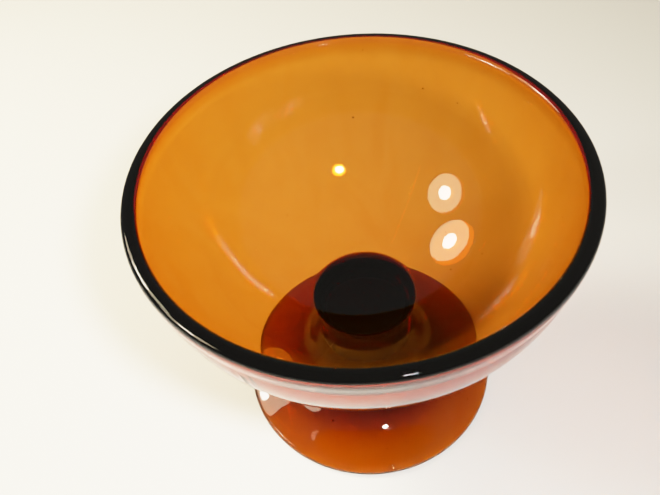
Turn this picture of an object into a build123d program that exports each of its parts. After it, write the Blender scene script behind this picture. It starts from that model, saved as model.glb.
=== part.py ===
from build123d import *
import os
from math import asin, acos, degrees, sqrt

os.makedirs("parts", exist_ok=True)

# A footed glass bowl, turned about the Z axis. It stands on the plane z = 0, with the origin
# at the centre of the ring that the foot rests on. All sizes are in millimetres.

# Driving dimensions: the whole bowl
rim_diameter = 150.0
overall_height = 122.0
foot_diameter = 107.0

# Driving dimensions: the rim bead, and how far below its middle it is joined to the wall
bead_thickness = 5.2
bead_joint_depth = 2.3

# Driving dimensions: the bowl's own wall
wall_thickness = 4.3
bottom_thickness = 4.3
inside_depth = 68.7

# Driving dimensions: the stem
stem_head_diameter = 41.2
stem_waist_diameter = 35.6

# Driving dimensions: the foot, from its neck down its flank and over its flat plate to the edge
neck_diameter = 42.4
neck_height = 25.0
flank_diameter = 58.0
flank_height = 12.4
plate_diameter = 82.0
plate_height = 6.1
foot_edge_thickness = 3.2
foot_edge_slope = 17.0
resting_ring_width = 2.0
hollow_height = 5.0

# The rim: a round bead whose inner side is flush with the inside of the wall
rim_radius = rim_diameter / 2
bead_radius = bead_thickness / 2
bead_ring_radius = rim_radius - bead_radius
bead_centre_height = overall_height - bead_radius
lip_height = bead_centre_height - bead_joint_depth

# The bowl: two elliptical curves, inside and outside, centred level with the middle of the bead
inner_radius = rim_radius - bead_thickness
outer_radius = inner_radius + wall_thickness
inner_bottom_height = overall_height - inside_depth
outer_bottom_height = inner_bottom_height - bottom_thickness
inner_curve_depth = bead_centre_height - inner_bottom_height
outer_curve_depth = bead_centre_height - outer_bottom_height

# The lip: the flat top of the wall, where both curves reach the joint under the bead
inner_lip_share = bead_joint_depth / inner_curve_depth
outer_lip_share = bead_joint_depth / outer_curve_depth
inner_lip_angle = degrees(asin(inner_lip_share))
outer_lip_angle = degrees(asin(outer_lip_share))
inner_lip_radius = inner_radius * sqrt(1 - inner_lip_share ** 2)
outer_lip_radius = outer_radius * sqrt(1 - outer_lip_share ** 2)

# The seat: the flat under the bowl, as wide as the stem's head
stem_head_radius = stem_head_diameter / 2
seat_share = stem_head_radius / outer_radius
seat_angle = degrees(acos(seat_share))
seat_height = bead_centre_height - outer_curve_depth * sqrt(1 - seat_share ** 2)

# The stem fills what is left between the seat and the foot's neck, with its waist half-way
stem_waist_radius = stem_waist_diameter / 2
stem_waist_height = (seat_height + neck_height) / 2

# The foot
neck_radius = neck_diameter / 2
flank_radius = flank_diameter / 2
plate_radius = plate_diameter / 2
foot_edge_radius = foot_edge_thickness / 2
foot_edge_centre = foot_diameter / 2 - foot_edge_radius
hollow_radius = foot_edge_centre - resting_ring_width

# Bowl: a deep round-bottomed shell with an even wall
with BuildPart() as bowl:
    with BuildSketch(Plane.XZ) as bowl_section:
        with BuildLine() as bowl_outline:
            inner_curve = EllipticalCenterArc(
                (0, bead_centre_height), inner_radius, inner_curve_depth,
                start_angle=-90, arc_size=90 - inner_lip_angle
            )
            outer_curve = EllipticalCenterArc(
                (0, bead_centre_height), outer_radius, outer_curve_depth,
                start_angle=-outer_lip_angle, arc_size=outer_lip_angle - seat_angle
            )
            lip = Line(inner_curve @ 1, outer_curve @ 0)
            seat = Polyline(outer_curve @ 1, (0, seat_height), inner_curve @ 0)
        make_face()
    revolve(axis=Axis.Z)
bowl.part.label = "bowl"
export_step(bowl.part, "parts/bowl.step")

# Rim bead: a round bead that stands proud of the outside, with a short skirt down to the lip,
# cut off level with the lip so that it sits flat on the wall
with BuildPart() as rim_bead:
    with BuildSketch(Plane.XZ) as bead_section:
        with Locations((bead_ring_radius, bead_centre_height)):
            Circle(bead_radius)
        with BuildLine() as skirt_outline:
            Polyline(
                (inner_lip_radius, lip_height),
                (inner_radius, bead_centre_height),
                (outer_radius, bead_centre_height),
                (outer_lip_radius, lip_height),
                close=True,
            )
        make_face()
        with Locations((bead_ring_radius, lip_height)):
            Rectangle(bead_thickness, bead_thickness, align=(Align.CENTER, Align.MAX), mode=Mode.SUBTRACT)
    revolve(axis=Axis.Z)
rim_bead.part.label = "rim_bead"
export_step(rim_bead.part, "parts/rim_bead.step")

# Stem: a short solid spool between the bowl and the foot
with BuildPart() as stem:
    with BuildSketch(Plane.XZ) as stem_section:
        with BuildLine() as stem_outline:
            stem_side = ThreePointArc(
                (stem_head_radius, seat_height),
                (stem_waist_radius, stem_waist_height),
                (neck_radius, neck_height),
            )
            Polyline(stem_side @ 1, (0, neck_height), (0, seat_height), stem_side @ 0)
        make_face()
    revolve(axis=Axis.Z)
stem.part.label = "stem"
export_step(stem.part, "parts/stem.step")

# Foot: its flank carries on the stem's side, then flattens into a plate with a rounded edge.
# Underneath it is slightly domed, so that it stands on a narrow ring near the edge.
with BuildPart() as foot:
    with BuildSketch(Plane.XZ) as foot_section:
        with BuildLine() as foot_outline:
            edge_curve = CenterArc(
                (foot_edge_centre, foot_edge_radius), foot_edge_radius,
                start_angle=-90, arc_size=180 - foot_edge_slope
            )
            top_curve = Spline(
                (neck_radius, neck_height),
                (flank_radius, flank_height),
                (plate_radius, plate_height),
                edge_curve @ 1,
                tangents=(stem_side % 1, -(edge_curve % 1)),
            )
            resting_ring = Line(edge_curve @ 0, (hollow_radius, 0))
            hollow = TangentArc((0, hollow_height), (hollow_radius, 0), tangent=(1, 0))
            neck_seat = Polyline((0, hollow_height), (0, neck_height), (neck_radius, neck_height))
        make_face()
    revolve(axis=Axis.Z)
foot.part.label = "foot"
export_step(foot.part, "parts/foot.step")
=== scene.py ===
# %% [markdown]
# # A footed bowl of amber glass
#
# The real object is clear amber glass: a deep round bowl with a thick bead round its rim, on a
# short solid stem and a low flared foot. A glassworker could blow the bowl in a mould of two
# halves, which leaves two fine seams on its outside, and add the bead, the stem and the foot while
# all is hot, so that they fuse into one. Everything is in metres, and the origin is on the table,
# under the middle of the foot.

# %% Load the frame
from math import acos, asin, atan2, cos, hypot, pi, radians, sin

import bpy
from mathutils import Matrix, Vector
from mathutils.geometry import interpolate_bezier


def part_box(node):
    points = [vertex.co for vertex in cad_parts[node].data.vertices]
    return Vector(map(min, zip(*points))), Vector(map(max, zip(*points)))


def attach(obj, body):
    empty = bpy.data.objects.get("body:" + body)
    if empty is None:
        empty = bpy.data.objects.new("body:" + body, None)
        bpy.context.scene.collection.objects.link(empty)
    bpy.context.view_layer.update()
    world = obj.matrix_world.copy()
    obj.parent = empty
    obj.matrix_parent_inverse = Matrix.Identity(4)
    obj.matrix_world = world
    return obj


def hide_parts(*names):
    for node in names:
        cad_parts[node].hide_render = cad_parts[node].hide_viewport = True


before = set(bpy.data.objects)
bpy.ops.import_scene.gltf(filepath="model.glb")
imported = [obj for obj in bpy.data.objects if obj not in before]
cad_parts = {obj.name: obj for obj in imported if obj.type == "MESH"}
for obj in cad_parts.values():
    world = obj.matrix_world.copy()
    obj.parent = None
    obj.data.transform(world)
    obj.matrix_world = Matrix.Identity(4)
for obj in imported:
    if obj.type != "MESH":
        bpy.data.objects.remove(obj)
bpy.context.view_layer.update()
print("nodes:", sorted(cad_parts))

# %% [markdown]
# The frame knows every outside size, so we read those from it and name only what hides inside
# the glass, such as the wall. The bowl is round all the way, so a radius and a height are enough
# to say where anything lies. The wall's two curves are ellipses, both centred level with the
# middle of the bead.

# %% Sizes of the bowl and its bead
MM = 0.001

rim_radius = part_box("rim_bead")[1].x
top_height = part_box("rim_bead")[1].z
lip_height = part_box("bowl")[1].z
seat_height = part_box("stem")[1].z
neck_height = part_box("foot")[1].z
foot_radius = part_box("foot")[1].x

bead_radius = 2.6 * MM
wall = 4.3 * MM
inside_depth = 68.7 * MM

bead_ring_radius = rim_radius - bead_radius
bead_height = top_height - bead_radius
inner_radius = rim_radius - 2 * bead_radius
outer_radius = inner_radius + wall
inner_depth = bead_height - (top_height - inside_depth)
outer_depth = inner_depth + wall
lip_drop = bead_height - lip_height

print("rim radius", round(rim_radius / MM, 1), "mm, height", round(top_height / MM, 1), "mm")
print("wall", round(wall / MM, 1), "mm, inside depth", round(inside_depth / MM, 1), "mm")

# %% Sizes of the stem and the foot
stem_head_radius = 20.6 * MM
stem_waist_radius = 17.8 * MM
neck_radius = 21.2 * MM
flank = Vector((29.0, 0, 12.4)) * MM
flank_slope = radians(-44)
plate = Vector((41.0, 0, 6.1)) * MM
plate_slope = radians(-16.8)
edge_radius = 1.6 * MM
edge_slope = radians(-17)
resting_ring = 2.0 * MM
hollow_height = 5.0 * MM
edge_ring_radius = foot_radius - edge_radius
hollow_radius = edge_ring_radius - resting_ring
print("the foot rests on a ring of radius", round((hollow_radius + edge_ring_radius) / 2 / MM, 1), "mm")

# %% [markdown]
# Each skin of the glass is turned on a lathe: half of its section is drawn point by point, beside
# the axis, and spun round it. A round stretch is drawn by a formula, so that it stays true however
# many points it gets: an arc of an ellipse, an arc through three points, or a Bezier span between
# two places whose slopes we know. A Bezier span whose handles are a third as long as the span is
# the plain, even curve that hot glass flows into.

# %% Helpers that draw a section
def ellipse_arc(centre_radius, centre_height, across, up, start, end, steps):
    """Points on an arc of an ellipse, from angle start to angle end, in radians."""
    angles = [start + (end - start) * step / steps for step in range(steps + 1)]
    return [Vector((centre_radius + across * cos(a), 0, centre_height + up * sin(a))) for a in angles]


def squared_arc(centre_radius, centre_height, size, squareness, start, end, steps):
    """Points on an arc of a circle that is squared off: 2 is a true circle, 3 has flatter sides."""
    points = []
    for step in range(steps + 1):
        a = start + (end - start) * step / steps
        out = size * abs(cos(a)) ** (2 / squareness) * (1 if cos(a) > 0 else -1)
        up = size * abs(sin(a)) ** (2 / squareness) * (1 if sin(a) > 0 else -1)
        points.append(Vector((centre_radius + out, 0, centre_height + up)))
    return points


def arc_through(first, middle, last, steps):
    """Points on the circle through three points, from the first to the last."""
    ax, az, bx, bz, cx, cz = first.x, first.z, middle.x, middle.z, last.x, last.z
    twice_area = 2 * (ax * (bz - cz) + bx * (cz - az) + cx * (az - bz))
    a2, b2, c2 = ax * ax + az * az, bx * bx + bz * bz, cx * cx + cz * cz
    centre_x = (a2 * (bz - cz) + b2 * (cz - az) + c2 * (az - bz)) / twice_area
    centre_z = (a2 * (cx - bx) + b2 * (ax - cx) + c2 * (bx - ax)) / twice_area
    radius = hypot(ax - centre_x, az - centre_z)
    start = atan2(az - centre_z, ax - centre_x) % (2 * pi)
    end = atan2(cz - centre_z, cx - centre_x) % (2 * pi)
    return ellipse_arc(centre_x, centre_z, radius, radius, start, end, steps)


def bezier_span(first, first_slope, last, last_slope, steps):
    """Points on a curve from first to last that leaves and arrives at the given slopes."""
    handle = (last - first).length / 3
    leave = first + handle * Vector((cos(first_slope), 0, sin(first_slope)))
    arrive = last - handle * Vector((cos(last_slope), 0, sin(last_slope)))
    return interpolate_bezier(first, leave, arrive, last, steps + 1)


# %% [markdown]
# Here is the lathe itself. By hand: add a plane, merge it to a single vertex, extrude that vertex
# from point to point, then spin the whole outline round the Z axis and merge what meets.

# %% The lathe
TURNS = 256
MERGE = 0.0005 * MM


def lathe(name, outline):
    """Spins an outline, drawn in the plane y = 0, into a skin."""
    bpy.ops.object.select_all(action="DESELECT")
    bpy.ops.mesh.primitive_plane_add(size=MM, location=(0, 0, 0))
    skin = bpy.context.object
    skin.name = skin.data.name = name
    bpy.ops.object.mode_set(mode="EDIT")
    bpy.ops.mesh.merge(type="CENTER")
    bpy.ops.transform.translate(value=outline[0])
    for here, there in zip(outline, outline[1:]):
        bpy.ops.mesh.extrude_vertices_move(TRANSFORM_OT_translate={"value": there - here})
    bpy.ops.mesh.select_all(action="SELECT")
    bpy.ops.mesh.spin(steps=TURNS, angle=2 * pi, center=(0, 0, 0), axis=(0, 0, 1))
    bpy.ops.mesh.select_all(action="SELECT")
    bpy.ops.mesh.remove_doubles(threshold=MERGE)
    bpy.ops.object.mode_set(mode="OBJECT")
    print(name, "has", len(skin.data.polygons), "faces")
    return skin


# %% [markdown]
# ## The bowl
#
# The wall is one even thickness from the lip to the bottom, so it has two skins: the inside,
# which runs from the axis up to the lip, and the outside, which runs from the foot of the bead's
# taper down to where the stem is joined.

# %% Turn the wall of the bowl
taper_drop = 6.8 * MM
inner_lip = asin(lip_drop / inner_depth)
taper_end = asin(taper_drop / outer_depth)
seat = acos(stem_head_radius / outer_radius)

inside = ellipse_arc(0, bead_height, inner_radius, inner_depth, -pi / 2, -inner_lip, 80)
outside = ellipse_arc(0, bead_height, outer_radius, outer_depth, -taper_end, -seat, 72)
inner_wall = lathe("inner_wall", inside)
outer_wall = lathe("outer_wall", outside)

# %% [markdown]
# Two mould seams run up the outside, opposite each other, where the halves of the mould met. They
# are hardly thicker than a hair, but they catch the light. The edges of the wall that already
# run up there are selected by their place and bevelled into a narrow strip, and the strip's middle
# line is pushed outwards. A seam stops short of the bead, which was worked hot after the mould.

# %% A helper that selects by place
def select_where(piece, mode, wanted):
    """Selects the vertices, or the edges both of whose ends are wanted, and stays in edit mode."""
    bpy.ops.object.select_all(action="DESELECT")
    bpy.context.view_layer.objects.active = piece
    bpy.ops.object.mode_set(mode="EDIT")
    bpy.ops.mesh.select_mode(type=mode)
    bpy.ops.mesh.select_all(action="DESELECT")
    bpy.ops.object.mode_set(mode="OBJECT")
    good = [wanted(vertex.co) for vertex in piece.data.vertices]
    if mode == "VERT":
        for vertex in piece.data.vertices:
            vertex.select = good[vertex.index]
    else:
        for edge in piece.data.edges:
            edge.select = good[edge.vertices[0]] and good[edge.vertices[1]]
    bpy.ops.object.mode_set(mode="EDIT")


# %% Raise the mould seams
seam_turn = 44 * 2 * pi / TURNS
seam_half_width = 0.16 * MM
seam_height = 0.07 * MM
seam_margin = 1.5 * MM
same_angle = 1e-4


def on_seam(point):
    """True for a point of the outer wall that lies on one of the two seams."""
    around = (atan2(point.y, point.x) - seam_turn) % pi
    beside = min(around, pi - around) < same_angle
    return beside and seat_height + seam_margin < point.z < outside[0].z - seam_margin


select_where(outer_wall, "EDGE", on_seam)
bpy.ops.mesh.bevel(offset=seam_half_width, offset_type="OFFSET", segments=2, affect="EDGES")
bpy.ops.object.mode_set(mode="OBJECT")
select_where(outer_wall, "VERT", on_seam)
bpy.ops.mesh.normals_make_consistent(inside=False)
bpy.ops.object.mode_set(mode="OBJECT")
outwards = [v.co.xy.dot(v.normal.xy) for v in outer_wall.data.vertices if v.select]
bpy.ops.object.mode_set(mode="EDIT")
bpy.ops.transform.shrink_fatten(value=seam_height if outwards[0] > 0 else -seam_height)
bpy.ops.object.mode_set(mode="OBJECT")
print("seam points:", len(outwards))

# %% [markdown]
# ## The bead, the stem and the foot
#
# The bead's inner side is flush with the inside of the bowl, and its outer side stands proud, so
# it looks like a dark cord round the rim. Its section isn't drawn as a true circle: the outer
# shoulder is fuller than the inner one, and the outer side runs almost straight down and dies away
# into the wall. That straight side was chosen for the looks. Light that comes in at the
# top meets it at such a low angle that it is thrown back and down the wall, and never comes out:
# that is why the rim of a coloured glass bowl looks black.

# %% Turn the rim bead
bead_inner_squareness = 2.1
bead_outer_squareness = 3.0


def bead_arc(squareness, start, end, steps):
    """Part of the bead's section."""
    return squared_arc(bead_ring_radius, bead_height, bead_radius, squareness, start, end, steps)


skirt = ellipse_arc(0, bead_height, inner_radius, inner_depth, -inner_lip, 0, 4)
crown = bead_arc(bead_inner_squareness, pi, pi / 2, 22)
crown += bead_arc(bead_outer_squareness, pi / 2, 0, 22)[1:]
wall_slope = atan2(-outer_depth * cos(taper_end), -outer_radius * sin(taper_end))
taper = bezier_span(crown[-1], -pi / 2, outside[0], wall_slope, 12)
rim_bead = lathe("rim_bead", skirt + crown[1:] + taper[1:])

# %% [markdown]
# The stem is a solid spool, drawn with one arc through its head, its waist and the neck of the
# foot. Because it is solid it holds so much glass that it looks nearly black from above.

# %% Turn the stem
stem_head = outside[-1]
waist = Vector((stem_waist_radius, 0, (seat_height + neck_height) / 2))
neck = Vector((neck_radius, 0, neck_height))
stem_side = arc_through(stem_head, waist, neck, 28)
stem = lathe("stem", stem_side)

# %% [markdown]
# The foot carries the stem's side on without a corner, so its first span leaves at the slope that
# the stem arrives at. It flows down the flank, out over the flat plate and round a thin edge. The
# underside is a shallow dome, so that the bowl stands on a narrow ring and doesn't rock.

# %% Turn the foot
neck_run = stem_side[-1] - stem_side[-2]
neck_slope = atan2(neck_run.z, neck_run.x)
edge_start = pi / 2 + edge_slope
edge = ellipse_arc(edge_ring_radius, edge_radius, edge_radius, edge_radius, edge_start, -pi / 2, 24)
dome_radius = (hollow_radius ** 2 + hollow_height ** 2) / (2 * hollow_height)
dome_turn = asin(hollow_radius / dome_radius)
dome_centre = hollow_height - dome_radius
dome = ellipse_arc(0, dome_centre, dome_radius, dome_radius, pi / 2 - dome_turn, pi / 2, 24)
foot_top = bezier_span(neck, neck_slope, flank, flank_slope, 18)
foot_top += bezier_span(flank, flank_slope, plate, plate_slope, 16)[1:]
foot_top += bezier_span(plate, plate_slope, edge[0], edge_slope, 12)[1:]
foot = lathe("foot", foot_top + edge[1:] + dome)

# %% [markdown]
# ## Fused hot
#
# In the real bowl the joined parts have run together, and light goes from one to the next without
# noticing. So the skins are joined into one closed piece with no faces inside it, and the points
# where they meet are merged. The normals are then turned outwards, which matters more for glass
# than for anything else: a ray of light has to know when it goes in and when it comes out. Last,
# the corner round the head of the stem gets the small fillet that hot glass flows into.

# %% Join the skins and round the corner of the stem
corner_fillet = 0.7 * MM
same_place = 0.01 * MM

bpy.ops.object.select_all(action="DESELECT")
for skin in (inner_wall, outer_wall, rim_bead, stem, foot):
    skin.select_set(True)
bpy.context.view_layer.objects.active = inner_wall
bpy.ops.object.join()
bowl = bpy.context.object
bowl.name = bowl.data.name = "amber_glass_bowl"
bpy.ops.object.mode_set(mode="EDIT")
bpy.ops.mesh.select_all(action="SELECT")
bpy.ops.mesh.remove_doubles(threshold=MERGE)
bpy.ops.mesh.normals_make_consistent(inside=False)
bpy.ops.object.mode_set(mode="OBJECT")


def in_corner(point):
    """True for a point of the ring where the outer wall meets the stem."""
    here = Vector((hypot(point.x, point.y), 0, point.z))
    return (here - stem_head).length < same_place


select_where(bowl, "EDGE", in_corner)
bpy.ops.mesh.bevel(offset=corner_fillet, offset_type="OFFSET", segments=5, affect="EDGES")
bpy.ops.object.mode_set(mode="OBJECT")
bowl.select_set(True)
bpy.ops.object.shade_smooth_by_angle(angle=radians(40))
print("the glass has", len(bowl.data.polygons), "faces")

# %% [markdown]
# Seeds are the little bubbles that stay in glass. One as big as a pinhead sits in the front of the
# foot, and two smaller ones beside it and behind. A bubble is a small sphere added in edit mode
# inside the glass, with its normals flipped: outwards, for the glass, is into the bubble.

# %% Blow in the seeds
def seed(turn, radius, height, size, flatten=1.0):
    """Adds one bubble to the glass, at an angle round the axis, a radius and a height."""
    place = Vector((radius * cos(turn), radius * sin(turn), height))
    bpy.ops.object.mode_set(mode="EDIT")
    bpy.ops.mesh.select_all(action="DESELECT")
    bpy.ops.mesh.primitive_uv_sphere_add(segments=20, ring_count=12, radius=size, location=place)
    bpy.ops.transform.resize(value=(1, 1, flatten), center_override=place)
    bpy.ops.mesh.flip_normals()
    bpy.ops.mesh.faces_shade_smooth()
    bpy.ops.object.mode_set(mode="OBJECT")


seed(radians(-118), 35.0 * MM, 4.3 * MM, 0.5 * MM, 0.8)
seed(radians(-83), 44.0 * MM, 2.9 * MM, 0.22 * MM)
seed(radians(40), 38.0 * MM, 4.4 * MM, 0.3 * MM)

# %% [markdown]
# ## The glass
#
# Amber glass takes out blue first, then green, and lets red through, and it does so all along the
# way that the light goes inside it. So the colour isn't painted on the surface: a Volume Absorption
# shader holds it, and thin walls come out golden while the solid stem comes out nearly black. The
# surface shader is clear, and its nodes hold what makes real glass believable: faint cords in the
# melt, dust, hairline scratches, and a slight waviness from the mould.

# %% A little node kit
def add(tree, kind, **values):
    """Adds one shader node and sets its properties."""
    node = tree.nodes.new(kind)
    for name, value in values.items():
        setattr(node, name, value)
    return node


def pattern(tree, kind, stretch, **values):
    """A texture that reads the piece's own coordinates, stretched along each axis."""
    place = add(tree, "ShaderNodeMapping")
    place.inputs["Scale"].default_value = stretch
    tree.links.new(tree.nodes["Place"].outputs["Object"], place.inputs["Vector"])
    texture = add(tree, kind)
    tree.links.new(place.outputs["Vector"], texture.inputs["Vector"])
    for name, value in values.items():
        if name in texture.inputs:
            texture.inputs[name].default_value = value
        else:
            setattr(texture, name, value)
    return texture


def reach(tree, source, low, high, to_low, to_high):
    """Turns a value that runs from low to high into one that runs from to_low to to_high."""
    node = add(tree, "ShaderNodeMapRange", clamp=True)
    tree.links.new(source, node.inputs["Value"])
    for name, value in (("From Min", low), ("From Max", high), ("To Min", to_low), ("To Max", to_high)):
        node.inputs[name].default_value = value
    return node.outputs["Result"]


def combine(tree, operation, first, second):
    """One sum, product, or greater or smaller of two values."""
    node = add(tree, "ShaderNodeMath", operation=operation)
    for socket, value in zip(node.inputs, (first, second)):
        if isinstance(value, (int, float)):
            socket.default_value = value
        else:
            tree.links.new(value, socket)
    return node.outputs["Value"]


def tint(tree, amount, colour_off, colour_on):
    """A colour that goes from one to the other as amount goes from 0 to 1."""
    node = add(tree, "ShaderNodeMix", data_type="RGBA")
    tree.links.new(amount, node.inputs["Factor"])
    for socket, colour in ((node.inputs[6], colour_off), (node.inputs[7], colour_on)):
        if isinstance(colour, tuple):
            socket.default_value = colour
        else:
            tree.links.new(colour, socket)
    return node.outputs[2]


# %% The amber glass
GLASS_IOR = 1.52
AMBER = (0.9, 0.635, 0.0, 1.0)
AMBER_DENSITY = 850.0
CLEAR_MELT = (1.0, 1.0, 1.0, 1)
RICHER_MELT = (0.97, 0.93, 0.86, 1)
DUST = (0.10, 0.07, 0.05, 1)
SMALLEST_SPECK = 0.012
SCRATCH_ROUGHNESS = 0.10
WORN_ROUGHNESS = 0.22
DUST_ROUGHNESS = 0.6
WAVE_HEIGHT = 0.08 * MM


def amber_glass(name):
    """Clear amber glass, coloured all through, with cords, dust, scratches and a worn ring."""
    material = bpy.data.materials.new(name)
    material.use_nodes = True
    tree = material.node_tree
    shader = tree.nodes["Principled BSDF"]
    shader.inputs["Transmission Weight"].default_value = 1.0
    shader.inputs["IOR"].default_value = GLASS_IOR
    melt = add(tree, "ShaderNodeVolumeAbsorption")
    melt.inputs["Color"].default_value = AMBER
    melt.inputs["Density"].default_value = AMBER_DENSITY
    tree.links.new(melt.outputs["Volume"], tree.nodes["Material Output"].inputs["Volume"])
    add(tree, "ShaderNodeTexCoord", name="Place")
    parts = add(tree, "ShaderNodeSeparateXYZ")
    tree.links.new(tree.nodes["Place"].outputs["Object"], parts.inputs["Vector"])
    height = parts.outputs["Z"]

    # cords: faint streaks of richer glass, drawn out along the wall
    cords = pattern(tree, "ShaderNodeTexNoise", (1, 1, 0.4), Scale=42.0, Detail=3.0, Distortion=1.6)
    richer = reach(tree, cords.outputs["Fac"], 0.42, 0.68, 0.0, 1.0)
    colour = tint(tree, richer, CLEAR_MELT, RICHER_MELT)

    # dust: a few dark specks, no two the same size, none in most of the cells
    dust = pattern(tree, "ShaderNodeTexVoronoi", (1, 1, 1), Scale=170.0, Randomness=1.0)
    pick = add(tree, "ShaderNodeSeparateColor")
    tree.links.new(dust.outputs["Color"], pick.inputs["Color"])
    speck_size = reach(tree, pick.outputs["Red"], 0.80, 1.0, 0.0, 0.075)
    gap = combine(tree, "SUBTRACT", dust.outputs["Distance"], speck_size)
    speck = reach(tree, gap, -0.012, 0.004, 1.0, 0.0)
    speck = combine(tree, "MULTIPLY", speck, combine(tree, "GREATER_THAN", speck_size, SMALLEST_SPECK))
    colour = tint(tree, speck, colour, DUST)
    tree.links.new(colour, shader.inputs["Base Color"])

    # scratches: hairlines from wiping, in patches
    hair = pattern(
        tree, "ShaderNodeTexVoronoi", (1.0, 2.6, 0.5), Scale=60.0, feature="DISTANCE_TO_EDGE"
    )
    patches = pattern(tree, "ShaderNodeTexNoise", (1, 1, 1), Scale=35.0, Detail=2.0)
    where = reach(tree, patches.outputs["Fac"], 0.52, 0.62, 0.0, 1.0)
    hairline = reach(tree, hair.outputs["Distance"], 0.0, 0.012, 1.0, 0.0)
    scratch = combine(tree, "MULTIPLY", hairline, where)

    # wear: the ring that the bowl stands on is ground matt
    ground = reach(tree, height, 0.02 * MM, 0.12 * MM, 1.0, 0.0)
    grain = pattern(tree, "ShaderNodeTexNoise", (1, 1, 1), Scale=260.0, Detail=2.0)
    worn = combine(tree, "MULTIPLY", ground, reach(tree, grain.outputs["Fac"], 0.3, 0.6, 0.5, 1.0))
    rough = combine(tree, "MULTIPLY", scratch, SCRATCH_ROUGHNESS)
    rough = combine(tree, "MAXIMUM", rough, combine(tree, "MULTIPLY", worn, WORN_ROUGHNESS))
    rough = combine(tree, "MAXIMUM", rough, combine(tree, "MULTIPLY", speck, DUST_ROUGHNESS))
    tree.links.new(rough, shader.inputs["Roughness"])

    # the skin: the slow waves that the mould leaves, and the scratches cut into them
    waves = pattern(tree, "ShaderNodeTexNoise", (1, 1, 0.7), Scale=38.0, Detail=1.0)
    relief = combine(tree, "SUBTRACT", waves.outputs["Fac"], combine(tree, "MULTIPLY", scratch, 0.04))
    relief = combine(tree, "ADD", relief, combine(tree, "MULTIPLY", speck, 0.15))
    skin = add(tree, "ShaderNodeBump")
    skin.inputs["Strength"].default_value = 1.0
    skin.inputs["Distance"].default_value = WAVE_HEIGHT
    tree.links.new(relief, skin.inputs["Height"])
    tree.links.new(skin.outputs["Normal"], shader.inputs["Normal"])
    print(name, "has", len(tree.nodes), "nodes")
    return material


# %% Give the bowl its glass
bowl.data.materials.append(amber_glass("amber_glass"))
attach(bowl, "root")
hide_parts("bowl", "rim_bead", "stem", "foot")

# %% [markdown]
# ## The floor, the camera and the light
#
# The bowl stands on a plain pale table, which lies a hair below the foot so that the two surfaces
# don't touch and turn black where they meet. The camera looks down into the bowl from the front,
# turned a little on its own axis, as if held in the hand.

# %% The floor
floor_gap = 0.1 * MM
floor_size = 6
bpy.ops.object.select_all(action="DESELECT")
bpy.ops.mesh.primitive_plane_add(size=floor_size, location=(0, 0, -floor_gap))
floor = bpy.context.object
floor.name = "floor"
pale = bpy.data.materials.new("pale_table")
pale.use_nodes = True
pale.node_tree.nodes["Principled BSDF"].inputs["Base Color"].default_value = (0.86, 0.86, 0.85, 1)
pale.node_tree.nodes["Principled BSDF"].inputs["Roughness"].default_value = 0.6
floor.data.materials.append(pale)

# %% The camera
pitch = 0.882
yaw = -0.076
roll = -0.122
camera_back = 1.989 * rim_radius
camera_up = 3.527 * rim_radius
forward = Vector((sin(yaw) * cos(pitch), cos(yaw) * cos(pitch), -sin(pitch)))
level = Vector((cos(yaw), -sin(yaw), 0))
upright = level.cross(forward)
across = cos(roll) * level + sin(roll) * upright
upwards = cos(roll) * upright - sin(roll) * level
turned = Matrix((across, upwards, -forward)).transposed().to_4x4()
turned.translation = Vector((0, -camera_back, camera_up))

bpy.ops.object.camera_add()
camera = bpy.context.object
camera.name = "camera"
camera.matrix_world = turned
camera.data.sensor_width = 36
camera.data.lens = 35.45
bpy.context.scene.camera = camera

# %% [markdown]
# A small flash beside the camera and two warm lamps on the left light the bowl, with a soft fill
# from the room. The flash is a small disc that the glass mirrors as a glint, and a larger one that
# isn't mirrored and gives most of the light. Each warm lamp is a bright core in front of a wider,
# dimmer ring, both mirrored. A wide disc that isn't mirrored, warm_side, adds light from the side of
# lamp_b. It stands just behind that lamp's ring, because discs in one plane cover each other.

# %% The lights
bowl_middle = Vector((0, 0, 60 * MM))
flash_place = (0.045, -0.149, 0.292)


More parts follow.
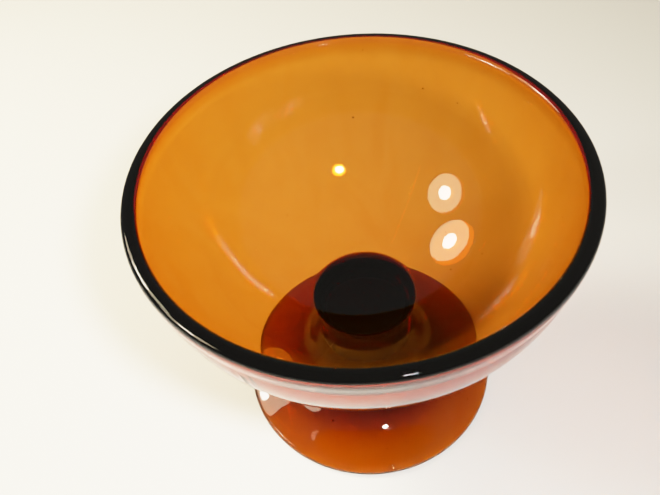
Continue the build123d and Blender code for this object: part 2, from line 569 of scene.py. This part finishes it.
def disc_light(name, place, size, power, colour, seen_in_glass):
    """A round lamp that shines at the bowl."""
    bpy.ops.object.light_add(type="AREA", location=place)
    lamp = bpy.context.object
    lamp.name = name
    lamp.data.shape = "DISK"
    lamp.data.size = size
    lamp.data.energy = power
    lamp.data.color = colour
    lamp.visible_glossy = seen_in_glass
    aim = bowl_middle - Vector(place)
    lamp.rotation_euler = aim.to_track_quat("-Z", "Y").to_euler()
    return lamp


disc_light("flash_glint", flash_place, 0.02, 0.083, (1, 0.98, 0.95), True)
disc_light("flash", flash_place, 0.032, 1.0, (1, 0.98, 0.95), False)
disc_light("warm_side", (-0.465, 0.217, 0.55), 0.27, 4.7, (1, 0.85, 0.55), False)
disc_light("lamp_a_ring", (-0.51, -0.09, 0.52), 0.25, 1.3, (1, 0.85, 0.6), True)
disc_light("lamp_a", (-0.505, -0.09, 0.52), 0.09, 0.8, (1, 0.95, 0.85), True)
disc_light("lamp_b_ring", (-0.45, 0.21, 0.54), 0.25, 1.3, (1, 0.85, 0.6), True)
disc_light("lamp_b", (-0.445, 0.21, 0.54), 0.09, 0.8, (1, 0.95, 0.85), True)
disc_light("soft_room", (-0.5, 0.4, 1.3), 1.2, 0.7, (1, 0.93, 0.80), False)

room = bpy.data.worlds.new("room")
bpy.context.scene.world = room
room.use_nodes = True
room.node_tree.nodes["Background"].inputs["Color"].default_value = (1, 0.93, 0.82, 1)
room.node_tree.nodes["Background"].inputs["Strength"].default_value = 0.2

# %% [markdown]
# A camera doesn't cut bright light off all at once: its response bends over, so that a table in
# full light is still a little short of white and keeps its tint. A curve in the colour
# management does the same here. It hardly touches the dark half and eases the bright half in. Light
# that the glass has tinted reaches the table indirectly, so the clamp on such light is turned off.

# %% Bend the highlights over
SHOULDER = 2.5
BRIGHTEST = 4.0

view = bpy.context.scene.view_settings
view.view_transform = "Standard"
view.use_curve_mapping = True
curves = view.curve_mapping
curves.white_level = (BRIGHTEST, BRIGHTEST, BRIGHTEST)
response = curves.curves[3]
for level in (0.15, 0.3, 0.5, 0.7, 0.95, 1.25, 1.65, 2.2, 3.0):
    response.points.new(level / BRIGHTEST, level / (1 + level ** SHOULDER) ** (1 / SHOULDER))
curves.update()
bpy.context.scene.cycles.sample_clamp_indirect = 0
